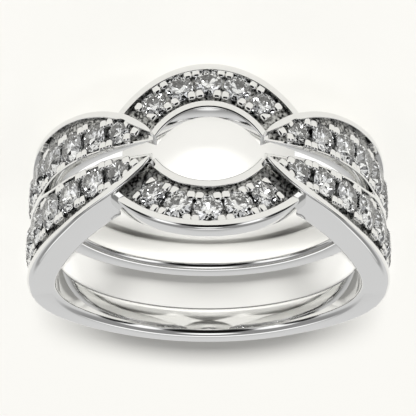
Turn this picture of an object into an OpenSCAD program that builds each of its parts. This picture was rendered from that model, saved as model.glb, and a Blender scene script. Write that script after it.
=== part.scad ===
// Ring guard enhancer. Two slim polished bands run side by side and leave a slot for the shank of
// another ring. Each band widens into two stone-set shoulders, and carries one stone-set crescent.
// The two crescents make a halo round an open eye, where the other ring's head comes through.
// The ring lies on its side, resting on the back band, with the finger hole upright and the halo
// toward -Y. All in millimetres.

/* [Finger hole and shanks] */
// Diameter of the finger hole
finger_d = 17.3; // [15.7:0.1:19.8]
// Wall of each shank, from the finger hole outward
shank_t = 1.65; // [1.5:0.05:1.9]
// Width of each shank, along the finger
shank_w = 1.92; // [1.8:0.02:2.3]
// Slot between the two shanks, which takes the other ring's shank
slot_w = 2.6; // [2.3:0.1:3]
// Rounding of each shank's two edges at the finger
comfort_r = 0.4; // [0.2:0.05:0.5]
// Rounding of each shank's two outer edges
edge_r = 0.3; // [0.15:0.05:0.45]

/* [Shoulders] */
// Height of the shoulders' crown over the plain shank's circle
crown_rise = 2.5; // [2.2:0.05:2.9]
// How far past the middle the shoulders' long side curve has its centre
side_centre = 4.8; // [4.3:0.1:5.6]
// How far each shoulder stands out past its shank's outer face, at its widest
shoulder_flare = 0.6; // [0.4:0.05:0.8]
// Lean of the shoulders' outer walls, from upright
wall_lean = 5; // [3:0.5:7]
// Thickness of the shoulders' plate, which reaches over the slot
plate_t = 0.85; // [0.8:0.05:1]
// Gap between the two bands' shoulders
split_w = 0.64; // [0.5:0.02:0.8]
// Width of two facing shoulder tips, with the gap between them
tip_span = 1.6; // [1.4:0.05:1.8]
// Width, seen from the front, of the joint that holds the two bands together at each side
joint_w = 1.15; // [0.95:0.05:1.4]
// Width of the plain rail on the shoulders' outer edge
outer_rail = 0.4; // [0.3:0.02:0.5]
// Width of the plain rail on the shoulders' edge at the gap
gap_rail = 0.14; // [0.1:0.02:0.2]
// How far the rail at the gap lies under the outer rail
gap_rail_drop = 0.2; // [0:0.05:0.25]

/* [Halo] */
// Length of the open eye, from one side to the other
eye_l = 5.86; // [5.6:0.02:6.1]
// Width of the open eye, along the finger
eye_w = 3.98; // [3.7:0.02:4.2]
// Length of the whole halo, as if its two outer arcs ran on until they met
halo_l = 12; // [11.4:0.1:12.6]
// Width of the halo over both crescents, along the finger
halo_w = 9.18; // [8.9:0.02:9.5]
// Thickness of the crescents
crescent_t = 1.15; // [1:0.05:1.3]
// How far the crescents' top lies under the shoulders' crown
crescent_drop = 0.45; // [0.35:0.05:0.55]
// Width of the rim round the open eye
eye_rim = 0.41; // [0.3:0.01:0.5]
// Width of the crescents' outer rim
outer_rim = 0.31; // [0.22:0.01:0.4]

/* [Stones] */
// Diameter of each stone on the crescents
halo_stone_d = 1.42; // [1.3:0.01:1.48]
// Diameter of the widest stone on the shoulders
shoulder_stone_d = 2.05; // [1.9:0.01:2.1]
// Gap between neighbouring stones on the crescents
halo_stone_gap = 0.12; // [0.08:0.02:0.2]
// Gap between neighbouring stones on the shoulders
shoulder_stone_gap = 0.28; // [0.2:0.02:0.36]
// Radius of the curve that the crescents' stones follow
halo_row_r = 4.43; // [4.2:0.05:4.8]
// How far the crescents' stones lie outward of the middle of their field
halo_row_shift = 0.13; // [0:0.01:0.16]
// Distance from each shoulder's tip to the middle of its first stone, along the crown
first_stone = 1.96; // [1.9:0.02:2.1]
// Clearance all round each stone in its seat
seat_gap = 0.03; // [0.02:0.01:0.05]
// Depth of the sunk field that the stones are set in
field_depth = 0.3; // [0.25:0.05:0.4]
// How far each stone's widest line lies under the rails
stone_sink = 0.16; // [0.1:0.02:0.2]
// Diameter of the beads that hold the stones
bead_d = 0.4; // [0.34:0.02:0.44]

/* [Hidden] */
$fn = 96;

// Shape of a round brilliant, as shares of its diameter
table_share = 0.56;
crown_share = 0.15;
girdle_share = 0.03;
pavilion_share = 0.43;
facets = 16;

// The shoulders' outer edge seen from above, with a row for each bend from the tip to the side.
// along is the share of the way from the tip to the side of the ring, and out is the share of
// the way from the tip's width to the widest line.
edge_rows = [
    // along, out
    [0.00, 0.000],
    [0.04, 0.120],
    [0.10, 0.245],
    [0.16, 0.360],
    [0.22, 0.445],
    [0.34, 0.600],
    [0.49, 0.735],
    [0.64, 0.858],
    [0.76, 0.940],
    [0.86, 0.995],
    [0.92, 1.000],
    [0.96, 0.955],
];

// Stones of one shoulder, from the tip to the side. size is the share of the widest stone, and
// out is the share of the shoulder's widest line at which the stone's middle lies.
stone_rows = [
    // size, out
    [0.63, 0.288],
    [0.76, 0.327],
    [0.87, 0.361],
    [0.97, 0.382],
    [1.00, 0.388],
    [0.97, 0.388],
    [0.93, 0.382],
];
halo_stones = 5;

// Beads stand beside the stones, at these shares of a stone's radius toward the gap or the eye, and
// away from it. bead_sink is the share of a bead that lies under the rails.
inner_spread = 0.82;
outer_spread = 0.92;
bead_sink = 0.5;
bead_facets = 24;

// Margin between a shoulder's last stone and the foot of its field
foot_margin = 0.15;
// How far the step at the gap's rail runs on into the field
rail_step = 0.1;
// How far the shoulders' tips reach in over the ends of the eye
tip_reach = 0.07;
// Share of the outer rail that the crescents' ends lie under
tuck_share = 0.8;
// Share of the flare that the leaning walls still lose below the middle of the ring
foot_share = 1 / 3;
// Step of the shanks' rounded edges, in degrees
round_step = 30;

ring_r = finger_d / 2 + shank_t;
slot_y = slot_w / 2;
shank_y = slot_y + shank_w;
widest_y = shank_y + shoulder_flare;
tip_x = eye_l / 2 - tip_reach;
tip_y = tip_span / 2;
joint_x = ring_r - joint_w;

// Lengths that reach past the whole ring, for the shapes that cut it
tall = 2 * ring_r;
wide = 2 * halo_w;

// The shoulders' front outline: a long arc up each side, and one arc over the crown
side_r = ring_r + side_centre;
side_drop = side_centre - crown_rise;
crown_z = (side_centre * side_centre - side_drop * side_drop) / (2 * side_drop);
crown_r = ring_r + crown_rise - crown_z;
turn_a = atan2(side_centre, crown_z);
crescent_r = crown_r - crescent_drop;

// The outer walls run on down past the middle until they meet the shanks' outer faces
foot_z = -foot_share * shoulder_flare / tan(wall_lean);

// The halo seen from above: two arcs for the eye, and two for its outer edge
function arc_radius(length, width) = (length * length + width * width) / (4 * width);
eye_r = arc_radius(eye_l, eye_w);
eye_y = eye_w / 2 - eye_r;
halo_r = arc_radius(halo_l, halo_w);
halo_y = halo_w / 2 - halo_r;
row_y = (eye_w / 2 + eye_rim + halo_w / 2 - outer_rim) / 2 + halo_row_shift;

// Tilt of the lying ring, which rests on the rim of one crescent and on the foot of one shank
rest_span = crown_z + crescent_r - crescent_t + ring_r - edge_r;
lay_tilt = atan2(halo_w / 2 - shank_y, rest_span);

function degrees(radians) = radians * 180 / PI;

// Height of the front outline over a distance from the middle
function outline_height(x) = x < crown_r * sin(turn_a)
    ? crown_z + sqrt(crown_r * crown_r - x * x)
    : sqrt(max(0, side_r * side_r - (x + side_centre) * (x + side_centre)));

// The shoulders' outer edge, on their top and moved inward by inset
edge_points = concat(
    [for (row = edge_rows)
        [tip_x + row[0] * (ring_r - tip_x), tip_y + row[1] * (widest_y - tip_y)]],
    [[ring_r, shank_y]]
);

function edge_normal(i) =
    let (last = len(edge_points) - 1, run = edge_points[min(i + 1, last)] - edge_points[max(i - 1, 0)])
    [run[1], -run[0]] / norm(run);

function edge_inset(inset) = concat(
    [for (i = [0 : len(edge_points) - 2]) edge_points[i] + inset * edge_normal(i)],
    [[ring_r, shank_y - inset], [ring_r + shank_t, shank_y - inset]]
);

// A place on the front outline by its arc length from the top: distance out, height and lean
function outline_at(length) = let (crown_length = crown_r * turn_a * PI / 180)
    length < crown_length
    ? let (a = degrees(length / crown_r)) [crown_r * sin(a), crown_z + crown_r * cos(a), a]
    : let (a = turn_a + degrees((length - crown_length) / side_r))
        [side_r * sin(a) - side_centre, side_r * cos(a), a];

function shoulder_size(i) = shoulder_stone_d * stone_rows[i][0];

function shoulder_length(i) = i == 0
    ? crown_r * asin(tip_x / crown_r) * PI / 180 + first_stone
    : shoulder_length(i - 1) + (shoulder_size(i - 1) + shoulder_size(i)) / 2 + shoulder_stone_gap;

function shoulder_out(i) = stone_rows[i][1] * widest_y;

// A place on the shoulders, sunk under their top: its middle, and its lean from upright
function shoulder_place(length, out, sink) = let (at = outline_at(length), lean = at[2])
    [[at[0] - sink * sin(lean), out, at[1] - sink * cos(lean)], lean];

// A place on the crescents, turned from the middle along their row
function halo_place(turn, row, sink) =
    let (x = row * sin(turn), lean = asin(x / crescent_r), r = crescent_r - sink)
    [[r * sin(lean), row_y - halo_row_r + row * cos(turn), crown_z + r * cos(lean)], lean];

halo_turn = degrees((halo_stone_d + halo_stone_gap) / halo_row_r);

function halo_stone(i) = halo_place((i - (halo_stones - 1) / 2) * halo_turn, halo_row_r, stone_sink);

function shoulder_stone(i) = shoulder_place(shoulder_length(i), shoulder_out(i), stone_sink);

// The foot of each shoulder's field, under its last stone
last_stone = len(stone_rows) - 1;
field_foot = shoulder_stone(last_stone)[0][2] - shoulder_size(last_stone) / 2 - foot_margin;

// Every stone: its name, diameter, place, and the signs that mirror it along the finger and across
stones = concat(
    [for (band = ["front", "back"], i = [0 : halo_stones - 1])
        [str("halo_stone_", band, "_", i + 1), halo_stone_d, halo_stone(i),
         band == "front" ? 1 : -1, 1]],
    [for (band = ["front", "back"], side = ["left", "right"], i = [0 : last_stone])
        [str("shoulder_stone_", band, "_", side, "_", i + 1), shoulder_size(i), shoulder_stone(i),
         band == "front" ? 1 : -1, side == "left" ? -1 : 1]]
);

// Turns the upright ring on its side
module lay() {
    rotate([90 - lay_tilt, 0, 0]) children();
}

module both_bands() {
    children();
    mirror([0, 1, 0]) children();
}

module both_sides() {
    children();
    mirror([1, 0, 0]) children();
}

module mirrored(band, side) {
    mirror([0, band < 0 ? 1 : 0, 0]) mirror([side < 0 ? 1 : 0, 0, 0]) children();
}

module at_place(place) {
    translate(place[0]) rotate([0, place[1], 0]) children();
}

module front_view() {
    rotate([90, 0, 0]) linear_extrude(wide, center = true) children();
}

// The front outline, moved inward by inset
module outline(inset) {
    turn_z = crown_z + (crown_r - inset) * cos(turn_a);
    intersection() {
        translate([-side_centre, 0]) circle(side_r - inset);
        translate([side_centre, 0]) circle(side_r - inset);
        translate([-tall, -tall]) square([2 * tall, tall + turn_z]);
    }
    intersection() {
        translate([0, crown_z]) circle(crown_r - inset);
        translate([-tall, turn_z]) square([2 * tall, tall]);
    }
}

module outside(inset) {
    difference() {
        square(3 * tall, center = true);
        outline(inset);
    }
}

// The ring seen from the front: the outline down to the middle, and the shank's circle below
module ring_front() {
    difference() {
        union() {
            intersection() {
                outline(0);
                translate([-tall, 0]) square([2 * tall, tall]);
            }
            intersection() {
                circle(ring_r);
                translate([-tall, foot_z]) square([2 * tall, -foot_z]);
            }
        }
        circle(finger_d / 2);
    }
}

module shank_section() {
    x = finger_d / 2;
    polygon(concat(
        [for (a = [180 : round_step : 270])
            [x + comfort_r * (1 + cos(a)), slot_y + comfort_r * (1 + sin(a))]],
        [for (a = [270 : round_step : 360])
            [ring_r - edge_r * (1 - cos(a)), slot_y + edge_r * (1 + sin(a))]],
        [for (a = [0 : round_step : 90])
            [ring_r - edge_r * (1 - cos(a)), shank_y - edge_r * (1 - sin(a))]],
        [for (a = [90 : round_step : 180])
            [x + comfort_r * (1 + cos(a)), shank_y - comfort_r * (1 - sin(a))]]
    ));
}

// Everything inside one shoulder's outer wall, which leans out as it rises
module inside_wall() {
    points = [for (p = concat(edge_points, [[ring_r + shank_t, shank_y]]))
        [p[0], (p[1] - outline_height(p[0]) * tan(wall_lean)) * cos(wall_lean)]];
    rotate([-wall_lean, 0, 0]) translate([0, 0, -tall]) linear_extrude(2 * tall)
        polygon(concat(points, [[ring_r + shank_t, -tall], [tip_x, -tall]]));
}

// The shoulder seen from above, from the gap between the bands outward
module gap_plan() {
    polygon([
        [tip_x, split_w / 2],
        [joint_x - split_w / 2, split_w / 2],
        [joint_x, 0],
        [tall, 0],
        [tall, wide],
        [tip_x, wide],
    ]);
}

// The field that the shoulder's stones are set in, seen from above
module field_plan() {
    rail = split_w / 2 + gap_rail;
    intersection() {
        polygon(concat(edge_inset(outer_rail), [[tall, -tall], [tip_x, -tall]]));
        polygon([
            [tip_x, rail],
            [joint_x - split_w / 2, rail],
            [joint_x, gap_rail],
            [tall, gap_rail],
            [tall, wide],
            [tip_x, wide],
        ]);
    }
}

// One crescent seen from above, which ends under the shoulders' outer rails
module crescent_plan(eye_inset, outer_inset) {
    tuck = edge_inset(tuck_share * outer_rail);
    intersection() {
        difference() {
            translate([0, halo_y]) circle(halo_r - outer_inset);
            translate([0, eye_y]) circle(eye_r + eye_inset);
        }
        translate([-halo_l, tip_y]) square([2 * halo_l, halo_w]);
        polygon(concat(
            [for (i = [len(tuck) - 1 : -1 : 0]) [-tuck[i][0], tuck[i][1]]],
            tuck,
            [[tall, halo_w], [-tall, halo_w]]
        ));
    }
}

module shanks() {
    both_bands() difference() {
        rotate([90, 0, 0]) mirror([0, 0, 1]) rotate_extrude() shank_section();
        translate([-tall, -wide, foot_z]) cube([2 * tall, 2 * wide, 2 * tall]);
    }
}

// One shoulder with its side of the ring, from its tip down to the plain shank
module shoulder_body() {
    difference() {
        intersection() {
            front_view() ring_front();
            inside_wall();
            translate([0, 0, foot_z]) linear_extrude(tall) gap_plan();
        }
        intersection() {
            front_view() outline(plate_t);
            translate([0, -slot_y, -tall]) cube([tall, 2 * slot_y, 2 * tall]);
        }
        translate([0, -slot_y, field_foot - foot_margin - tall]) cube([tall, 2 * slot_y, tall]);
    }
}

// The sunk field, and the step down to the rail at the gap
module shoulder_field() {
    intersection() {
        front_view() outside(field_depth);
        translate([0, 0, field_foot]) linear_extrude(tall) field_plan();
    }
    intersection() {
        front_view() outside(gap_rail_drop);
        linear_extrude(tall) square([joint_x - split_w / 2, split_w / 2 + gap_rail + rail_step]);
    }
}

// The hollow that takes a stone: a cone under its pavilion, and a well above its widest line
module seat(d) {
    r = d / 2 + seat_gap;
    rotate_extrude() polygon([[0, -pavilion_share * d - 2 * seat_gap], [r, -seat_gap], [r, d], [0, d]]);
}

module bead(place) {
    at_place(place) sphere(d = bead_d, $fn = bead_facets);
}

module shoulder() {
    difference() {
        union() {
            difference() {
                shoulder_body();
                shoulder_field();
            }
            for (i = [0 : last_stone - 1], way = [-inner_spread, outer_spread]) {
                length = (shoulder_length(i) + shoulder_size(i) / 2
                    + shoulder_length(i + 1) - shoulder_size(i + 1) / 2) / 2;
                size = (shoulder_size(i) + shoulder_size(i + 1)) / 2;
                out = (shoulder_out(i) + shoulder_out(i + 1)) / 2;
                bead(shoulder_place(length, out + way * size / 2, bead_sink * bead_d));
            }
        }
        for (i = [0 : last_stone]) at_place(shoulder_stone(i)) seat(shoulder_size(i));
    }
}

module crescent_body() {
    intersection() {
        front_view() translate([0, crown_z]) difference() {
            circle(crescent_r);
            circle(crescent_r - crescent_t);
        }
        linear_extrude(tall) crescent_plan(0, 0);
    }
}

module crescent_field() {
    intersection() {
        front_view() difference() {
            square(3 * tall, center = true);
            translate([0, crown_z]) circle(crescent_r - field_depth);
        }
        linear_extrude(tall) crescent_plan(eye_rim, outer_rim);
    }
}

module crescent() {
    difference() {
        union() {
            difference() {
                crescent_body();
                crescent_field();
            }
            for (i = [1 : halo_stones - 1], way = [-inner_spread, outer_spread])
                bead(halo_place((i - halo_stones / 2) * halo_turn,
                    halo_row_r + way * halo_stone_d / 2, bead_sink * bead_d));
        }
        for (i = [0 : halo_stones - 1]) at_place(halo_stone(i)) seat(halo_stone_d);
    }
}

module metal() {
    color("gainsboro") lay() {
        shanks();
        both_bands() both_sides() shoulder();
        both_bands() crescent();
    }
}

// A round brilliant with its widest line at the origin: a table, a crown and a pointed pavilion
module brilliant(d) {
    step = 360 / facets;
    girdle = girdle_share * d / 2;
    ring = function (r, z, turn) [for (i = [0 : facets - 1])
        [r * cos(step * (i + turn)), r * sin(step * (i + turn)), z]];
    points = concat(
        [[0, 0, -pavilion_share * d]],
        ring(d / 2, -girdle, 0),
        ring(d / 2, girdle, 0),
        ring(table_share * d / 2, girdle + crown_share * d, 0.5)
    );
    low = function (i) 1 + i % facets;
    mid = function (i) 1 + facets + i % facets;
    top = function (i) 1 + 2 * facets + i % facets;
    polyhedron(points, concat(
        [for (i = [0 : facets - 1]) [0, low(i), low(i + 1)]],
        [for (i = [0 : facets - 1]) [low(i), mid(i), mid(i + 1), low(i + 1)]],
        [for (i = [0 : facets - 1]) [mid(i), top(i), mid(i + 1)]],
        [for (i = [0 : facets - 1]) [top(i), top(i + 1), mid(i + 1)]],
        [[for (i = [facets - 1 : -1 : 0]) top(i)]]
    ));
}

module set_stone(stone) {
    color("aliceblue") lay() mirrored(stone[3], stone[4]) at_place(stone[2]) brilliant(stone[1]);
}

metal();
for (stone = stones) set_stone(stone);
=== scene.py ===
import math

import bmesh
import bpy
from mathutils import Matrix, Vector


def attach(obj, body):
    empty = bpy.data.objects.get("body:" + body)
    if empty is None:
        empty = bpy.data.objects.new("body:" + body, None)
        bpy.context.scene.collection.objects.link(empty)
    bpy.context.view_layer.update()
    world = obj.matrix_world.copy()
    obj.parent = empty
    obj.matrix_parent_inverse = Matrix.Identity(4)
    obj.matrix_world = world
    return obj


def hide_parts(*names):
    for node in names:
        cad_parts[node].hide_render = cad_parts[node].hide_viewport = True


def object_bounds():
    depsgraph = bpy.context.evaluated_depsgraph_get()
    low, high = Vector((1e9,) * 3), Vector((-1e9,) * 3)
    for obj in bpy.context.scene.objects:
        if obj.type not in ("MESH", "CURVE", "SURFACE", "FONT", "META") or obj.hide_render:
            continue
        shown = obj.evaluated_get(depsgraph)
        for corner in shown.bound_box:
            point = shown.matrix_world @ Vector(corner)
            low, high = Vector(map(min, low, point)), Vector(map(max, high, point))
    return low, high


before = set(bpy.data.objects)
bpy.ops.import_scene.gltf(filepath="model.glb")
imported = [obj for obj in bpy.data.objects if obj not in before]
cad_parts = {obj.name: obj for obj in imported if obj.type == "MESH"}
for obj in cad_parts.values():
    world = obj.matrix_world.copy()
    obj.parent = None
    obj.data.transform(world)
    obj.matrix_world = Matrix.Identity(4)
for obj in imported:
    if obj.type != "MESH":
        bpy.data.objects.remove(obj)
cad_box = [list(corner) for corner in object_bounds()]

# Shanks and shoulders
# The real ring is two cast bands of 14 carat white gold, rhodium plated and polished to a mirror.
# They are soldered together at both sides, so here they are one mesh, swept round the finger hole.
# The swept section changes shape from tip to shank, which no primitive gives, so its faces are built here.
MM = 0.001
# finger hole, outside of the shank, and half the slot for the other ring, in mm as all sizes below
HOLE_R = 8.65
RING_R = 10.297
SLOT_Y = 1.30
# front outline: two long side arcs with their centres past the middle, and a crown arc between them
SIDE_CENTRE = 4.80
CROWN_RISE = 2.50
SIDE_R = RING_R + SIDE_CENTRE
CROWN_Z = (SIDE_CENTRE**2 - (SIDE_CENTRE - CROWN_RISE) ** 2) / (2 * (SIDE_CENTRE - CROWN_RISE))
CROWN_R = RING_R + CROWN_RISE - CROWN_Z
TURN = math.atan2(SIDE_CENTRE, CROWN_Z)
# the ring lies on its side, tilted a little because the crescents stand out past the shanks
LAY_TILT = math.radians(3.697)
LAY_COS, LAY_SIN = math.cos(math.pi / 2 - LAY_TILT), math.sin(math.pi / 2 - LAY_TILT)


def lay(point):
    """A place on the upright ring, in mm, to its place on the lying ring, in metres."""
    x, y, z = point
    return Vector((x * MM, (y * LAY_COS - z * LAY_SIN) * MM, (y * LAY_SIN + z * LAY_COS) * MM))


def unlay(point):
    """A place on the lying ring, in metres, back to the upright ring, in mm."""
    x, y, z = point[0] / MM, point[1] / MM, point[2] / MM
    return (x, y * LAY_COS + z * LAY_SIN, -y * LAY_SIN + z * LAY_COS)


def between(table, at, column):
    """A smooth curve through one column of a table whose first column rises."""
    last = len(table) - 1
    if at <= table[0][0]:
        return table[0][column]
    if at >= table[last][0]:
        return table[last][column]
    i = max(k for k in range(last) if table[k][0] <= at)
    slopes = []
    for k in (i, i + 1):
        low, high = max(k - 1, 0), min(k + 1, last)
        slopes.append((table[high][column] - table[low][column]) / (table[high][0] - table[low][0]))
    x0, x1 = table[i][0], table[i + 1][0]
    a, b, run = table[i][column], table[i + 1][column], x1 - x0
    t = (at - x0) / run
    if a == b:
        return a
    return (
        a * (2 * t**3 - 3 * t**2 + 1)
        + slopes[0] * run * (t**3 - 2 * t**2 + t)
        + b * (3 * t**2 - 2 * t**3)
        + slopes[1] * run * (t**3 - t**2)
    )


def step(low, high, at):
    """A smooth rise from 0 at the low end to 1 at the high end."""
    t = min(1, max(0, (at - low) / (high - low)))
    return t * t * (3 - 2 * t)


def mix(one, two, share):
    return one + (two - one) * share


def outline_z(x):
    """Height of the front outline over a distance from the middle."""
    if x < CROWN_R * math.sin(TURN):
        return CROWN_Z + math.sqrt(CROWN_R**2 - x * x)
    return math.sqrt(max(0, SIDE_R**2 - (x + SIDE_CENTRE) ** 2))


def outline_r(angle):
    """Radius of the front outline at an angle from the top of the head."""
    if angle >= 90:
        return RING_R
    a = math.radians(angle)
    r = CROWN_Z * math.cos(a) + math.sqrt(CROWN_R**2 - (CROWN_Z * math.sin(a)) ** 2)
    if r * math.sin(a) < CROWN_R * math.sin(TURN):
        return r
    past = SIDE_CENTRE * math.sin(a)
    return -past + math.sqrt(past**2 + SIDE_R**2 - SIDE_CENTRE**2)


# distance from the middle, outer edge, inner edge of the outer rail, lean of the wall in degrees
EDGE = [
    (2.80, 0.74, 0.56, 6.0),
    (2.92, 0.87, 0.60, 6.0),
    (3.16, 1.16, 0.74, 6.0),
    (3.59, 1.53, 1.02, 6.2),
    (4.03, 1.87, 1.33, 6.4),
    (4.48, 2.14, 1.63, 6.5),
    (4.94, 2.36, 1.89, 6.5),
    (5.42, 2.58, 2.13, 6.2),
    (6.47, 2.97, 2.56, 5.5),
    (7.59, 3.36, 2.90, 3.8),
    (8.53, 3.63, 3.06, 2.0),
    (9.06, 3.76, 3.14, 1.5),
    (9.42, 3.83, 3.19, 1.3),
    (9.90, 3.82, 3.18, 1.1),
    (10.20, 3.72, 3.12, 1.0),
    (10.30, 3.62, 3.04, 1.0),
]
# distance from the middle, edge at the gap, width of its rail, how far it lies under the outer rail
GAP = [
    (2.80, 0.34, 0.12, 0.42),
    (3.60, 0.34, 0.12, 0.38),
    (4.60, 0.34, 0.12, 0.30),
    (6.00, 0.34, 0.13, 0.16),
    (7.50, 0.33, 0.14, 0.04),
    (8.20, 0.30, 0.15, 0.03),
    (8.60, 0.20, 0.17, 0.03),
    (8.90, 0.08, 0.20, 0.03),
    (9.10, 0.00, 0.22, 0.03),
    (10.30, 0.00, 0.24, 0.03),
]
# distance from the middle, thickness of the plate that carries the stones
PLATE = [
    (2.80, 0.50),
    (3.60, 0.66),
    (4.60, 0.84),
    (5.60, 0.92),
    (6.60, 0.92),
]
FIELD_DEPTH = 0.34
MIN_FIELD = 0.06
# how much wider the slot is at the halo, the lean of its sides in degrees, the metal left beside its top
HEAD_SLOT = 0.5
SLOT_LEAN = 5.5
SLOT_TOP_WALL = 0.35
# half the width over both shanks, where their flat outer faces start to round, and the joint's own rail
SHANK_Y = 3.22
SHANK_RAIL_Y = 2.70
JOINT_RAIL = 0.5
# rounding of the edges at the finger and of the outer edges: near the tip, at the side, on the shank
COMFORT_TIP, COMFORT_R = 0.12, 0.40
EDGE_TIP, EDGE_SIDE, EDGE_SHANK = 0.11, 0.40, 0.30
RAIL_EDGE, FIELD_EDGE = 0.045, 0.03
# the same at the gap, at the joint, under the thin rail and inside the slot
GAP_EDGE, JOINT_EDGE, THIN_RAIL_EDGE, SLOT_EDGE = 0.04, 0.30, 0.10, 0.08
# a leg under a tip is cut away where it is thinner than this, in steps of this height, up to this angle
MIN_LEG = 0.03
LEG_STEP = 0.02
LEG_ANGLE = 60
# a leg's foot reaches at least this far past the gap
FOOT_WALL = 0.10
# where each form begins and ends, in degrees from the top of the head
TIP_ANGLE = 13.2
FIELD_OPENS, FIELD_CLOSES = (13.6, 15.0), (91.2, 93.0)
ROUGH_FROM, ROUGH_TO = 14.0, 92.6
TIP_RAMP = (20, 30)
HEAD_SLOT_RAMP, SLOT_LEAN_RAMP = (24, 52), (50, 80)
COMFORT_RAMP, EDGE_RAMP = (22, 45), (28, 62)
SHANK_RAMP, RAIL_RAMP, WALL_RAMP = (85, 100), (90, 130), (88, 150)
JOINT_RAMP = (93.2, 95.2)
# a section every half degree near the tip and at the joint, every degree between, every two on the shank
NEAR_TIP, NEAR_JOINT = 22, (86, 97)
# corners of the section: the points of each one's rounding, and the faces that lie in the sunk field
CORNER_POINTS = [7, 7, 6, 4, 3, 3, 3, 6, 4, 4]
FIELD_FACES = range(24, 29)


def wall_y(angle, radius):
    """How far out the leaning outer wall lies."""
    a = math.radians(angle)
    x, z = radius * math.sin(a), radius * math.cos(a)
    if angle > 90:
        x, z = radius, 0
    y = between(EDGE, x, 1) - (outline_z(x) - z) * math.tan(math.radians(between(EDGE, x, 3)))
    return mix(y, SHANK_Y, step(*WALL_RAMP, angle))


def fillet(before, corner, after, radius, count, share=0.6):
    """Points of a rounded corner that takes up no more than a share of either side."""
    u, v = before - corner, after - corner
    if u.length < 1e-6 or v.length < 1e-6 or radius <= 0:
        return [corner.copy() for _ in range(count)]
    turn = u.angle(v)
    reach = min(radius / math.tan(turn / 2), share * u.length, share * v.length)
    start, end = corner + u.normalized() * reach, corner + v.normalized() * reach
    bend = reach * math.tan(turn / 2)
    bisector = (u.normalized() + v.normalized()).normalized()
    centre = corner + bisector * math.hypot(reach, bend)
    points = []
    for k in range(count):
        p = start.lerp(end, k / (count - 1)) - centre
        points.append(centre + p.normalized() * bend)
    return points


def band_section(angle):
    """The section of the front band at an angle, as (along the finger, radius) points."""
    r = outline_r(angle)
    x = r * math.sin(math.radians(angle)) if angle < 90 else RING_R
    closed = step(*FIELD_CLOSES, angle)
    joint = step(*JOINT_RAMP, angle)
    top = wall_y(angle, r)
    rail = mix(between(EDGE, x, 2), SHANK_RAIL_Y, step(*RAIL_RAMP, angle))
    gap = mix(between(GAP, x, 1), SLOT_Y, joint)
    gap_rail = min(gap + between(GAP, x, 2), rail - MIN_FIELD) + JOINT_RAIL * joint
    field = step(*FIELD_OPENS, angle) * (1 - closed)
    drop = between(GAP, x, 3) * (1 - closed)
    depth = max(FIELD_DEPTH, drop) * field + drop * (1 - field) * (1 - step(*TIP_RAMP, angle))
    plate = r - between(PLATE, x, 1)
    slot_y = SLOT_Y + HEAD_SLOT * (1 - step(*HEAD_SLOT_RAMP, angle))
    foot = HOLE_R
    if angle < LEG_ANGLE:
        while foot < plate - LEG_STEP and wall_y(angle, foot) < slot_y + MIN_LEG:
            foot += LEG_STEP
    foot_y = max(wall_y(angle, foot), gap + FOOT_WALL)
    slot = min(slot_y, foot_y - MIN_LEG)
    lean = (plate - foot) * math.tan(math.radians(SLOT_LEAN)) * (1 - step(*SLOT_LEAN_RAMP, angle))
    slot_top = max(slot, min(slot + lean, wall_y(angle, plate) - SLOT_TOP_WALL))
    apart = 1 if gap > 0.02 else 0
    comfort = mix(COMFORT_TIP, COMFORT_R, step(*COMFORT_RAMP, angle))
    edge = mix(EDGE_TIP, EDGE_SIDE, step(*EDGE_RAMP, angle))
    edge += (EDGE_SHANK - EDGE_SIDE) * step(*SHANK_RAMP, angle)
    # along the finger, radius, rounding
    corners = [
        (slot, foot, comfort),
        (foot_y, foot, comfort),
        (top, r, edge),
        (rail, r, RAIL_EDGE),
        (rail, r - depth, FIELD_EDGE),
        (gap_rail, r - depth, FIELD_EDGE),
        (gap_rail, r - drop, FIELD_EDGE),
        (gap, r - drop, mix(GAP_EDGE, JOINT_EDGE, joint) * apart),
        (gap, plate, THIN_RAIL_EDGE * apart),
        (slot_top, plate - 0.001, SLOT_EDGE),
    ]
    points = []
    for i, (y, rho, radius) in enumerate(corners):
        before, after = corners[i - 1], corners[(i + 1) % len(corners)]
        points += fillet(Vector(before[:2]), Vector((y, rho)), Vector(after[:2]), radius, CORNER_POINTS[i])
    return points


def band_angles():
    """Angles of the sections, close together where the band changes quickly."""
    angles, at = [], TIP_ANGLE
    while at < 180:
        angles.append(at)
        if at < NEAR_TIP or NEAR_JOINT[0] < at < NEAR_JOINT[1]:
            at += 0.5
        else:
            at += 1 if at < NEAR_JOINT[1] else 2
    return angles + [180]


def new_piece(name, mesh):
    """A mesh as an object at the origin."""
    piece = bpy.data.objects.new(name, mesh)
    bpy.context.collection.objects.link(piece)
    return piece


def only(piece):
    """Selects one piece and makes it active."""
    bpy.ops.object.select_all(action="DESELECT")
    piece.select_set(True)
    bpy.context.view_layer.objects.active = piece


# a tip's end face is a little smaller than its section, which breaks its edge
TIP_SHARE = 0.86
TIP_BEVEL = 0.12


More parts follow.
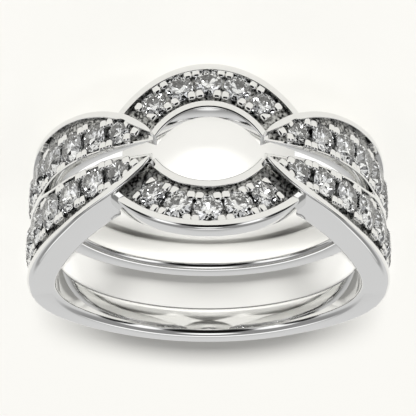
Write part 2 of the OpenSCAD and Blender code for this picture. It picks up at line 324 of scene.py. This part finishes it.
def build_bands():
    """Both bands, each swept from one tip round the finger hole to the other, and welded at the sides."""
    mesh = bmesh.new()
    angles = band_angles()
    stations = [(a, 1) for a in angles] + [(a, -1) for a in reversed(angles[:-1])]
    for band in (1, -1):
        rings, rough_at = [], []
        for angle, side in stations:
            full = band_section(angle)
            sections = [(angle, full)]
            if angle == TIP_ANGLE:
                middle = sum(full, Vector((0, 0))) / len(full)
                small = [middle + (p - middle) * TIP_SHARE for p in full]
                sections = [(angle, small), (angle + TIP_BEVEL, full)]
                if side < 0:
                    sections.reverse()
            for at, section in sections:
                a = math.radians(at)
                places = [(side * p.y * math.sin(a), band * p.x, p.y * math.cos(a)) for p in section]
                rings.append([mesh.verts.new(lay(place)) for place in places])
                rough_at.append(ROUGH_FROM < at < ROUGH_TO)
        count = len(rings[0])
        for i in range(len(rings) - 1):
            one, two = rings[i], rings[i + 1]
            for k in range(count):
                j = (k + 1) % count
                face = mesh.faces.new((one[k], one[j], two[j], two[k]))
                if k in FIELD_FACES and rough_at[i] and rough_at[i + 1]:
                    face.material_index = 1
        mesh.faces.new(rings[0])
        mesh.faces.new(rings[-1])
    bmesh.ops.remove_doubles(mesh, verts=mesh.verts, dist=2e-7)
    # the faces where the two bands touch lie inside the solder, so they go
    seam = [f for f in mesh.faces if all(abs(unlay(v.co)[1]) < 1e-3 for v in f.verts)]
    bmesh.ops.delete(mesh, geom=seam, context="FACES")
    bmesh.ops.recalc_face_normals(mesh, faces=mesh.faces)
    data = bpy.data.meshes.new("bands")
    mesh.to_mesh(data)
    mesh.free()
    return new_piece("bands", data)


def linear(hex_colour):
    """An sRGB hex colour as linear RGBA."""
    out = []
    for k in (1, 3, 5):
        c = int(hex_colour[k:k + 2], 16) / 255
        out.append(c / 12.92 if c <= 0.04045 else ((c + 0.055) / 1.055) ** 2.4)
    return (*out, 1)


def add(tree, kind, settings=(), links=()):
    """Adds a node with its settings and links."""
    node = tree.nodes.new(kind)
    for key, value in dict(settings).items():
        if isinstance(key, int) or key in node.inputs:
            node.inputs[key].default_value = value
        else:
            setattr(node, key, value)
    for key, source in dict(links).items():
        tree.links.new(source, node.inputs[key])
    return node


def new_material(name):
    """An empty material and its node tree."""
    material = bpy.data.materials.new(name)
    material.use_nodes = True
    material.node_tree.nodes.clear()
    return material, material.node_tree


gold, tree = new_material("white_gold_rhodium_polished")
# A mirror polish: a clear cold grey with crisp reflections, a trace of wheel haze and a faint waviness.
# The haze comes in patches of about 1.7 mm, the width of the felt's contact, and the waves in 1.1 mm.
HAZE_PER_MM, WAVES_PER_MM = 0.6, 0.9
place = add(tree, "ShaderNodeTexCoord")
haze = add(
    tree, "ShaderNodeTexNoise", {"Scale": HAZE_PER_MM / MM, "Detail": 3},
    {"Vector": place.outputs["Object"]},
)
rough = add(
    tree, "ShaderNodeMapRange", {"From Min": 0.3, "From Max": 0.7, "To Min": 0.03, "To Max": 0.075},
    {"Value": haze.outputs["Fac"]},
)
wave = add(
    tree, "ShaderNodeTexNoise", {"Scale": WAVES_PER_MM / MM, "Detail": 1},
    {"Vector": place.outputs["Object"]},
)
bump = add(
    tree, "ShaderNodeBump", {"Strength": 0.25, "Distance": 0.01 * MM},
    {"Height": wave.outputs["Fac"]},
)
shader = add(
    tree, "ShaderNodeBsdfPrincipled", {"Metallic": 1.0, "Base Color": linear("#EAEAE9")},
    {"Roughness": rough.outputs["Result"], "Normal": bump.outputs["Normal"]},
)
add(tree, "ShaderNodeOutputMaterial", (), {"Surface": shader.outputs["BSDF"]})

field, tree = new_material("white_gold_field_painted_shade")
# The field between the stones is cut with a graver, out of the wheel's reach: dull and scratched, and its
# dark tone is painted shade, the shade that falls in the sunk field between the stones.
# A graver's cuts are 0.1 to 0.2 mm wide.
CUTS_PER_MM = 6
place = add(tree, "ShaderNodeTexCoord")
marks = add(
    tree, "ShaderNodeTexNoise", {"Scale": CUTS_PER_MM / MM, "Detail": 4},
    {"Vector": place.outputs["Object"]},
)
rough = add(
    tree, "ShaderNodeMapRange", {"From Min": 0.3, "From Max": 0.7, "To Min": 0.2, "To Max": 0.45},
    {"Value": marks.outputs["Fac"]},
)
spread = add(
    tree, "ShaderNodeMapRange", {"From Min": 0.40, "From Max": 0.62},
    {"Value": marks.outputs["Fac"]},
)
cuts = add(
    tree, "ShaderNodeBump", {"Strength": 0.6, "Distance": 0.03 * MM},
    {"Height": marks.outputs["Fac"]},
)
# painted shade: the dark end of this mix darkens the sunk field as its shade would, in patches that follow
# the graver's marks
tone = add(
    tree, "ShaderNodeMix", {"data_type": "RGBA", 6: linear("#222222"), 7: linear("#CCCCCA")},
    {0: spread.outputs["Result"]},
)
shader = add(
    tree, "ShaderNodeBsdfPrincipled", {"Metallic": 1.0},
    {"Roughness": rough.outputs["Result"], "Base Color": tone.outputs[2], "Normal": cuts.outputs["Normal"]},
)
add(tree, "ShaderNodeOutputMaterial", (), {"Surface": shader.outputs["BSDF"]})


def dress_metal(piece):
    """Smooths a metal piece, keeps its hard edges, hangs it on the root body and hides the part's metal."""
    only(piece)
    bpy.ops.object.shade_smooth_by_angle(angle=math.radians(40))
    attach(piece, "root")
    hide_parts("metal")


bands = build_bands()
bands.data.materials.append(gold)
bands.data.materials.append(field)

# Crescents
# The two crescents are cast plates of the same gold, soldered against the shoulders' outer rails.
# Each has a broad polished rim at the eye, a sunk field for five stones and a thin outer rim.
# inner and outer arc: radius, place of the centre along the finger, and half the angle that they span
EYE_R, EYE_Y, EYE_TURN = 3.152, -1.162, 56.0
HALO_R, HALO_Y, HALO_TURN = 6.2130, -1.6265, 54.0
EYE_RIM = 0.41
OUTER_RIM = 0.44
# the crescents lie a little under the shoulders' crown
CRESCENT_R = CROWN_R - 0.45
CRESCENT_T = 1.12
CRESCENT_STEPS = 90
# rounding of the rims' edges at the eye, outside and underneath, and the faces in the sunk field
EYE_EDGE, OUTER_EDGE, UNDER_EDGE = 0.13, 0.20, 0.10
CRESCENT_FIELD = range(14, 19)


def crescent_section(u):
    """The section of the front crescent, u from -1 at its left end to 1 at its right end."""
    a, b = math.radians(EYE_TURN * u), math.radians(HALO_TURN * u)
    inner = Vector((EYE_R * math.sin(a), EYE_Y + EYE_R * math.cos(a)))
    outer = Vector((HALO_R * math.sin(b), HALO_Y + HALO_R * math.cos(b)))
    width = (outer - inner).length
    # across, height, rounding, points of the rounding
    corners = [
        (0, -CRESCENT_T, UNDER_EDGE, 4),
        (0, 0, EYE_EDGE, 6),
        (EYE_RIM, 0, RAIL_EDGE, 4),
        (EYE_RIM, -FIELD_DEPTH, FIELD_EDGE, 3),
        (width - OUTER_RIM, -FIELD_DEPTH, FIELD_EDGE, 3),
        (width - OUTER_RIM, 0, RAIL_EDGE, 4),
        (width, 0, OUTER_EDGE, 8),
        (width, -CRESCENT_T, UNDER_EDGE, 4),
    ]
    points = []
    for i, (s, h, radius, count) in enumerate(corners):
        before, after = corners[i - 1], corners[(i + 1) % len(corners)]
        for p in fillet(Vector(before[:2]), Vector((s, h)), Vector(after[:2]), radius, count, 0.85):
            place = inner.lerp(outer, p.x / width)
            points.append((place.x, place.y, CROWN_Z + math.sqrt(CRESCENT_R**2 - place.x**2) + p.y))
    return points


def build_crescent(name, band):
    """One crescent, swept from its left end to its right end."""
    mesh = bmesh.new()
    rings = []
    for i in range(CRESCENT_STEPS + 1):
        section = crescent_section(2 * i / CRESCENT_STEPS - 1)
        rings.append([mesh.verts.new(lay((x, band * y, z))) for x, y, z in section])
    count = len(rings[0])
    for one, two in zip(rings, rings[1:]):
        for k in range(count):
            j = (k + 1) % count
            face = mesh.faces.new((one[k], one[j], two[j], two[k]))
            face.material_index = 1 if k in CRESCENT_FIELD else 0
    mesh.faces.new(rings[0])
    mesh.faces.new(rings[-1])
    bmesh.ops.recalc_face_normals(mesh, faces=mesh.faces)
    data = bpy.data.meshes.new(name)
    mesh.to_mesh(data)
    mesh.free()
    data.materials.append(gold)
    data.materials.append(field)
    return new_piece(name, data)


crescents = [build_crescent("crescent_front", 1), build_crescent("crescent_back", -1)]

# Stones
# Round brilliants of near-colourless diamond, ten on the crescents and seven on each shoulder.
# Each is cut as a lapidary does it: a round blank, then table, stars, mains and halves plane by plane.
# the crescents' stones: diameter, gap, radius of their row, and its middle's place along the finger
HALO_D = 1.42
HALO_GAP = 0.12
HALO_ROW_R = 4.43
ROW_Y = 3.47
# the shoulders' stones: widest diameter, gap, and the first one's distance from the tip along the crown
SHOULDER_D = 2.05
SHOULDER_GAP = 0.28
FIRST_STONE = 1.96
TIP_X = 2.86
# how far a girdle lies under the rails, and half the ring's widest line over the shoulders
STONE_SINK = 0.16
WIDEST_Y = 3.82
# turn from each stone to the next, in radians, because a setter never lines up the facets
STONE_TURN = 2.4
# share of the widest stone, share of the widest line at which its middle lies
STONE_ROWS = [
    (0.63, 0.288),
    (0.76, 0.327),
    (0.87, 0.361),
    (0.97, 0.382),
    (1.00, 0.388),
    (0.97, 0.388),
    (0.93, 0.382),
]


def outline_at(length):
    """Place and lean on the front outline at an arc length from the top of the head."""
    crown = CROWN_R * TURN
    if length < crown:
        a = length / CROWN_R
        return CROWN_R * math.sin(a), CROWN_Z + CROWN_R * math.cos(a), a
    a = TURN + (length - crown) / SIDE_R
    return SIDE_R * math.sin(a) - SIDE_CENTRE, SIDE_R * math.cos(a), a


def shoulder_place(length, out, sink):
    """Place and lean of a point on a right shoulder of the front band."""
    x, z, lean = outline_at(length)
    return (x - sink * math.sin(lean), out, z - sink * math.cos(lean)), lean


def halo_place(turn, row, sink):
    """Place and lean of a point on the front crescent."""
    x = row * math.sin(turn)
    lean = math.asin(x / CRESCENT_R)
    r = CRESCENT_R - sink
    return (r * math.sin(lean), ROW_Y - HALO_ROW_R + row * math.cos(turn), CROWN_Z + r * math.cos(lean)), lean


HALO_STEP = (HALO_D + HALO_GAP) / HALO_ROW_R
sizes = [SHOULDER_D * row[0] for row in STONE_ROWS]
lengths = [CROWN_R * math.asin(TIP_X / CROWN_R) + FIRST_STONE]
for i in range(1, 7):
    lengths.append(lengths[-1] + (sizes[i - 1] + sizes[i]) / 2 + SHOULDER_GAP)

# name, diameter, place, lean, sign along the finger, sign across
stone_list = []
for band, sign in (("front", 1), ("back", -1)):
    for i in range(5):
        place, lean = halo_place((i - 2) * HALO_STEP, HALO_ROW_R, STONE_SINK)
        stone_list.append((f"halo_stone_{band}_{i + 1}", HALO_D, place, lean, sign, 1))
    for side, across in (("left", -1), ("right", 1)):
        for i in range(7):
            place, lean = shoulder_place(lengths[i], STONE_ROWS[i][1] * WIDEST_Y, STONE_SINK)
            stone_list.append((f"shoulder_stone_{band}_{side}_{i + 1}", sizes[i], place, lean, sign, across))


def seat_matrix(place, lean, sign, across, spin=0):
    """From a stone's own frame, in mm with its table up, to the lying ring in metres."""
    x, y, z = place
    up = Vector((across * math.sin(lean), 0, math.cos(lean)))
    along = Vector((0, 1, 0))
    side = along.cross(up)
    at = Vector((across * x, sign * y, z))
    rows = [lay(at + side) - lay(at), lay(at + along) - lay(at), lay(at + up) - lay(at)]
    out = Matrix.Identity(4)
    for i in range(3):
        for j in range(3):
            out[j][i] = rows[i][j]
        out[i][3] = lay(at)[i]
    return out @ Matrix.Rotation(spin * sign * across, 4, "Z")


def cut_plane(azimuth, angle, radius, height):
    """Grinds one facet whose plane passes a radius and height at an azimuth."""
    a, t = math.radians(azimuth), math.radians(angle)
    normal = (math.sin(t) * math.cos(a), math.sin(t) * math.sin(a), math.cos(t))
    point = (radius * math.cos(a), radius * math.sin(a), height)
    bpy.ops.mesh.select_all(action="SELECT")
    bpy.ops.mesh.bisect(plane_co=point, plane_no=normal, use_fill=True, clear_outer=True, threshold=1e-6)


def cut_brilliant():
    """A brilliant of 1 mm diameter with its girdle at the origin."""
    bpy.ops.object.select_all(action="DESELECT")
    bpy.ops.mesh.primitive_cylinder_add(vertices=64, radius=0.5, depth=0.8, location=(0, 0, -0.1))
    stone = bpy.context.active_object
    bpy.ops.object.transform_apply(location=True)
    bpy.ops.object.mode_set(mode="EDIT")
    girdle, table_r = 0.0125, 0.285
    # facet angles of a usual cut, in degrees from the girdle
    star, crown, upper_half = 21, 34.5, 41.5
    pavilion, lower_half = 40.8, 42.4
    table_z = girdle + (0.5 - table_r) * math.tan(math.radians(crown))
    cut_plane(0, 0, 0, table_z)
    for k in range(8):
        cut_plane(45 * k, crown, 0.5, girdle)
    for k in range(8):
        cut_plane(45 * k + 22.5, star, table_r * math.cos(math.pi / 8), table_z)
    for k in range(16):
        cut_plane(22.5 * k + 11.25, upper_half, 0.5, girdle - 0.002)
    for k in range(8):
        cut_plane(45 * k, 180 - pavilion, 0.5, -girdle)
    for k in range(16):
        cut_plane(22.5 * k + 11.25, 180 - lower_half, 0.5, -girdle + 0.002)
    bpy.ops.object.mode_set(mode="OBJECT")
    stone.name = "brilliant"
    return stone


pattern = cut_brilliant()
stones = []
for name, size, place, lean, sign, across in stone_list:
    data = pattern.data.copy()
    seat = seat_matrix(place, lean, sign, across, STONE_TURN * len(stones))
    data.transform(seat @ Matrix.Diagonal((size, size, size, 1)))
    stone = new_piece(name + "_cut", data)
    stones.append((stone, name))
bpy.data.objects.remove(pattern)


# the drill for a stone of 1 mm, as radius and height: an open hole below, a bearing, and the way in
DRILL = [(0, -0.62), (0.2, -0.62), (0.2, -0.30), (0.515, -0.02), (0.515, 0.8), (0, 0.8)]
DRILL_SIDES = 40


def cut_seats(piece, wanted):
    """Drills a seat for each wanted stone, its walls given the field's dull metal with painted shade."""
    tool = bmesh.new()
    for name, size, place, lean, sign, across in stone_list:
        if not wanted(name, sign):
            continue
        to_ring = seat_matrix(place, lean, sign, across)
        rings = []
        for r, h in DRILL:
            turns = [2 * math.pi * k / DRILL_SIDES for k in range(DRILL_SIDES if r else 1)]
            spots = [(r * size * math.cos(a), r * size * math.sin(a), h * size) for a in turns]
            rings.append([tool.verts.new(to_ring @ Vector(spot)) for spot in spots])
        for one, two in zip(rings, rings[1:]):
            for k in range(DRILL_SIDES):
                j = (k + 1) % DRILL_SIDES
                if len(one) == 1:
                    tool.faces.new((one[0], two[j], two[k]))
                elif len(two) == 1:
                    tool.faces.new((one[k], one[j], two[0]))
                else:
                    tool.faces.new((one[k], one[j], two[j], two[k]))
    bmesh.ops.recalc_face_normals(tool, faces=tool.faces)
    data = bpy.data.meshes.new("drill")
    tool.to_mesh(data)
    tool.free()
    data.materials.append(field)
    drill = new_piece("drill", data)
    only(piece)
    cut = piece.modifiers.new("seats", "BOOLEAN")
    cut.material_mode = "TRANSFER"
    cut.operation = "DIFFERENCE"
    cut.solver = "MANIFOLD"
    cut.object = drill
    bpy.ops.object.modifier_apply(modifier=cut.name)
    bpy.data.objects.remove(drill)


# the seats are cut once the stones' places are known, and only then is the metal finished
cut_seats(bands, lambda name, sign: name.startswith("shoulder"))
cut_seats(crescents[0], lambda name, sign: name.startswith("halo") and sign > 0)
cut_seats(crescents[1], lambda name, sign: name.startswith("halo") and sign < 0)
for piece in [bands] + crescents:
    dress_metal(piece)

diamond, tree = new_material("diamond_near_colourless")
# Polished diamond: clear as water, with a very high index that breaks the light into bright and dark patches.
place = add(tree, "ShaderNodeTexCoord")
# its faint tint drifts over about 2 mm, so that it differs from stone to stone
cloud = add(tree, "ShaderNodeTexNoise", {"Scale": 0.5 / MM}, {"Vector": place.outputs["Object"]})
tint = add(
    tree, "ShaderNodeMix", {"data_type": "RGBA", 6: linear("#FFFFFF"), 7: linear("#F4F7FA")},
    {0: cloud.outputs["Fac"]},
)
shader = add(
    tree, "ShaderNodeBsdfPrincipled", {"Transmission Weight": 1.0, "Roughness": 0.0, "IOR": 2.417},
    {"Base Color": tint.outputs[2]},
)
add(tree, "ShaderNodeOutputMaterial", (), {"Surface": shader.outputs["BSDF"]})
for stone, name in stones:
    stone.data.materials.append(diamond)
    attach(stone, "root")
    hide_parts(name)

# Beads
# The setter raises small square prongs from the field and pushes each over the edge of one stone.
# They stand in pairs between each two stones on both sides, and single at the ends of a row.
BEAD_L, BEAD_W, BEAD_H = 0.46, 0.52, 0.52
BEAD_EDGE = 0.155
# how far a prong's top lies under the rails, half the distance of a pair, and the share of a stone's
# radius at which the pairs stand
BEAD_TOP = 0.02
PAIR = 0.225
SPREAD = 0.86
# single prongs past the last stone of a crescent: further turn, and place across the row
END_TURN = 0.111
END_ROWS = (-0.38, 0.53)


def cast_bead():
    """One prong with its top at the origin: a block with rounded edges."""
    bpy.ops.object.select_all(action="DESELECT")
    bpy.ops.mesh.primitive_cube_add(size=1, location=(0, 0, 0))
    bead = bpy.context.active_object
    bpy.ops.object.mode_set(mode="EDIT")
    bpy.ops.mesh.select_all(action="SELECT")
    bpy.ops.transform.resize(value=(BEAD_L, BEAD_W, BEAD_H), center_override=(0, 0, 0))
    bpy.ops.transform.translate(value=(0, 0, -BEAD_H / 2))
    bpy.ops.mesh.bevel(offset=BEAD_EDGE, segments=4, affect="EDGES")
    bpy.ops.object.mode_set(mode="OBJECT")
    return bead


bead_pattern = cast_bead()
# place, lean, spin, sizes along, across and up as shares of the pattern, whether it is mirrored across
bead_places = []
for i in range(1, 5):
    turn = (i - 2.5) * HALO_STEP
    for way in (-SPREAD, SPREAD):
        row = HALO_ROW_R + way * HALO_D / 2
        for pair in (-PAIR, PAIR):
            at, lean = halo_place(turn + pair / row, row, BEAD_TOP)
            bead_places.append((at, lean, -turn, (1, 1, 1), False))
for end in (-1, 1):
    turn = end * (2 * HALO_STEP + END_TURN)
    for way in END_ROWS:
        at, lean = halo_place(turn, HALO_ROW_R + way, BEAD_TOP)
        bead_places.append((at, lean, -turn, (1.1, 1.1, 1), False))
for i in range(6):
    middle = (lengths[i] + sizes[i] / 2 + lengths[i + 1] - sizes[i + 1] / 2) / 2
    out = (STONE_ROWS[i][1] + STONE_ROWS[i + 1][1]) / 2 * WIDEST_Y
    spin = math.atan2((STONE_ROWS[i + 1][1] - STONE_ROWS[i][1]) * WIDEST_Y, lengths[i + 1] - lengths[i])
    for way in (-SPREAD, SPREAD):
        for pair in (-PAIR, PAIR):
            at, lean = shoulder_place(middle + pair, out + way * (sizes[i] + sizes[i + 1]) / 4, BEAD_TOP)
            bead_places.append((at, lean, spin, (1, 1, 1), True))
# single prongs at the ends of a shoulder's row: place along, place across, spin, shares of the size
for length, out, spin, share in (
    (lengths[0] - 0.50, 1.38, 0.5, (1, 1, 1)),
    (lengths[0] - 0.52, 0.66, 0.2, (1, 1, 1)),
    (lengths[0] - 1.00, 0.88, 0.6, (1.1, 0.9, 0.8)),
    (lengths[6] + 0.75, 0.80, 0, (1, 1, 1)),
    (lengths[6] + 0.75, 2.10, 0, (1, 1, 1)),
):
    at, lean = shoulder_place(length, out, BEAD_TOP)
    bead_places.append((at, lean, spin, share, True))
beads_mesh = bmesh.new()
for at, lean, spin, share, mirrored in bead_places:
    for sign in (1, -1):
        for across in (1, -1) if mirrored else (1,):
            data = bead_pattern.data.copy()
            data.transform(seat_matrix(at, lean, sign, across, spin) @ Matrix.Diagonal((*share, 1)))
            beads_mesh.from_mesh(data)
            bpy.data.meshes.remove(data)
data = bpy.data.meshes.new("beads")
bmesh.ops.recalc_face_normals(beads_mesh, faces=beads_mesh.faces)
beads_mesh.to_mesh(data)
beads_mesh.free()
data.materials.append(gold)
beads = new_piece("beads", data)
bpy.data.objects.remove(bead_pattern)
dress_metal(beads)

# Floor
# A sheet of matt white card, rolled flat under the ring as on a jeweller's shooting table.
# It has no gloss at all, so its tone is even from the front edge to the back.
floor_z = cad_box[0][2]
bpy.ops.object.select_all(action="DESELECT")
bpy.ops.mesh.primitive_plane_add(size=1.2, location=(0, 0, floor_z - 0.00002))
floor = bpy.context.active_object
floor.name = "floor"
paper, tree = new_material("white_card")
shader = add(
    tree, "ShaderNodeBsdfPrincipled",
    {"Base Color": linear("#D2D1CD"), "Roughness": 0.9, "Specular IOR Level": 0.0},
)
add(tree, "ShaderNodeOutputMaterial", (), {"Surface": shader.outputs["BSDF"]})
floor.data.materials.append(paper)

# Light tent
# A tent of white cloth stands all round, brighter low down than overhead, and the metal mirrors it.
# Four bright cards draw the highlights, and three dark ones the black lines: at the camera and at both sides.
world = bpy.data.worlds.new("light_tent")
bpy.context.scene.world = world
world.use_nodes = True
tree = world.node_tree
tree.nodes.clear()
ray = add(tree, "ShaderNodeTexCoord")
parts = add(tree, "ShaderNodeSeparateXYZ", (), {"Vector": ray.outputs["Generated"]})
# height of the look from the floor up to overhead, grey of the cloth there
CLOTH = [(0.0, 0.72), (0.25, 0.72), (0.45, 0.38), (0.60, 0.30), (1.0, 0.30)]
# azimuth, elevation, radius in degrees, light: behind, overhead, and at both sides
BRIGHT_CARDS = [(180, 40, 8, 1.0), (0, 80, 8, 1.2), (62, 30, 14, 0.9), (-62, 30, 14, 0.9)]
DARK_CARDS = [(0, 30, 29, 0.03), (78, 10, 14, 0.03), (-78, 10, 14, 0.03)]
CARD_SOFT = 8


def cloth_ramp(stops, source):
    """The cloth's grey over the height of the look."""
    ramp = add(tree, "ShaderNodeValToRGB", (), {"Fac": source})
    ramp.color_ramp.interpolation = "EASE"
    while len(ramp.color_ramp.elements) < len(stops):
        ramp.color_ramp.elements.new(0.5)
    for element, (at, grey) in zip(ramp.color_ramp.elements, stops):
        element.position = at
        element.color = (grey, grey, grey, 1)
    return ramp.outputs["Color"]


def toward(azimuth, elevation):
    """The direction from the ring, 0 being the side of the camera."""
    a, e = math.radians(azimuth), math.radians(elevation)
    return Vector((math.sin(a) * math.cos(e), -math.cos(a) * math.cos(e), math.sin(e)))


def hang(light, kind, cards, outside):
    """Adds round cards to the light, or multiplies them in, each with a soft edge."""
    for azimuth, elevation, radius, inside in cards:
        dot = add(
            tree, "ShaderNodeVectorMath", {"operation": "DOT_PRODUCT", 1: toward(azimuth, elevation)},
            {0: ray.outputs["Generated"]},
        )
        near, far = math.cos(math.radians(radius)), math.cos(math.radians(radius + CARD_SOFT))
        card = add(
            tree, "ShaderNodeMapRange",
            {"From Min": far, "From Max": near, "To Min": outside, "To Max": inside},
            {"Value": dot.outputs["Value"]},
        )
        join = add(
            tree, "ShaderNodeMix", {"data_type": "RGBA", "blend_type": kind, 0: 1.0},
            {6: light, 7: card.outputs["Result"]},
        )
        light = join.outputs[2]
    return light


light = cloth_ramp(CLOTH, parts.outputs["Z"])
light = hang(light, "ADD", BRIGHT_CARDS, 0)
light = hang(light, "MULTIPLY", DARK_CARDS, 1)
background = add(tree, "ShaderNodeBackground", {"Strength": 1.0}, {"Color": light})
add(tree, "ShaderNodeOutputWorld", (), {"Surface": background.outputs["Background"]})

# Softboxes
# The low one, well under the camera, throws the photo's soft shadows behind both shanks.
# The main one beside the camera fills them. The metal doesn't mirror either.
BOX_DISTANCE = 6.0


def hang_lamp(name, data, place, aim):
    """A lamp that looks at its aim and that the metal doesn't mirror."""
    lamp = bpy.data.objects.new(name, data)
    lamp.location = place
    lamp.rotation_euler = (Vector(place) - Vector(aim)).to_track_quat("Z", "Y").to_euler()
    lamp.visible_glossy = False
    bpy.context.collection.objects.link(lamp)


def softbox(name, elevation, wide, tall, energy):
    data = bpy.data.lights.new(name, "AREA")
    data.shape = "RECTANGLE"
    data.size, data.size_y, data.energy = wide, tall, energy
    hang_lamp(name, data, toward(0, elevation) * BOX_DISTANCE, (0, 0, 0))


softbox("main_softbox", 26, 1.20, 0.75, 45)
softbox("low_softbox", 17.8, 1.50, 0.40, 1180)

# Snoots
# Narrow lamps that whiten the floor where the photo's background shows: in the finger hole from above,
# through the eye, and in the two ends of the slot. The last three stand where the camera is.
camera_place = lay((0, 28.363, 69.618))


def snoot(name, place, aim, across, energy, soft):
    """A narrow lamp whose beam is so wide at its aim."""
    data = bpy.data.lights.new(name, "SPOT")
    data.energy = energy
    data.spot_size = 2 * math.atan(across / 2 / (Vector(place) - Vector(aim)).length)
    data.spot_blend = soft
    data.shadow_soft_size = 0.001
    hang_lamp(name, data, place, aim)


snoot("finger_hole_snoot", (0, 0.0005, 0.4), (0, 0.0005, 0), 0.0176, 4.6, 0.3)
snoot("eye_snoot", camera_place, lay((0, 0, 12.4)), 0.0075, 0.10, 0.3)
for side, name in ((-1, "left"), (1, "right")):
    snoot(f"corner_snoot_{name}", camera_place, (side * 0.0092, 0.0120, floor_z), 0.0064, 0.72, 1.0)

# Camera
# It looks down on the halo from the front, as in the photo, and is rolled half a turn, because the
# photo's ring is upside down to the one that lies here. Its line of sight leans over the finger's line.
SIGHT_LEAN = math.radians(23.4505)
camera_data = bpy.data.cameras.new("camera")
camera_data.lens = 111.39
camera_data.sensor_width = 36
camera_data.shift_x = -0.5 / 416
camera_data.clip_start = 0.005
camera = bpy.data.objects.new("camera", camera_data)
bpy.context.collection.objects.link(camera)
right = lay((-1, 0, 0)) / MM
up = lay((0, -math.cos(SIGHT_LEAN), math.sin(SIGHT_LEAN))) / MM
back = lay((0, math.sin(SIGHT_LEAN), math.cos(SIGHT_LEAN))) / MM
camera.matrix_world = Matrix.Translation(camera_place) @ Matrix((right, up, back)).transposed().to_4x4()
bpy.context.scene.camera = camera
bpy.context.scene.view_settings.view_transform = "Standard"
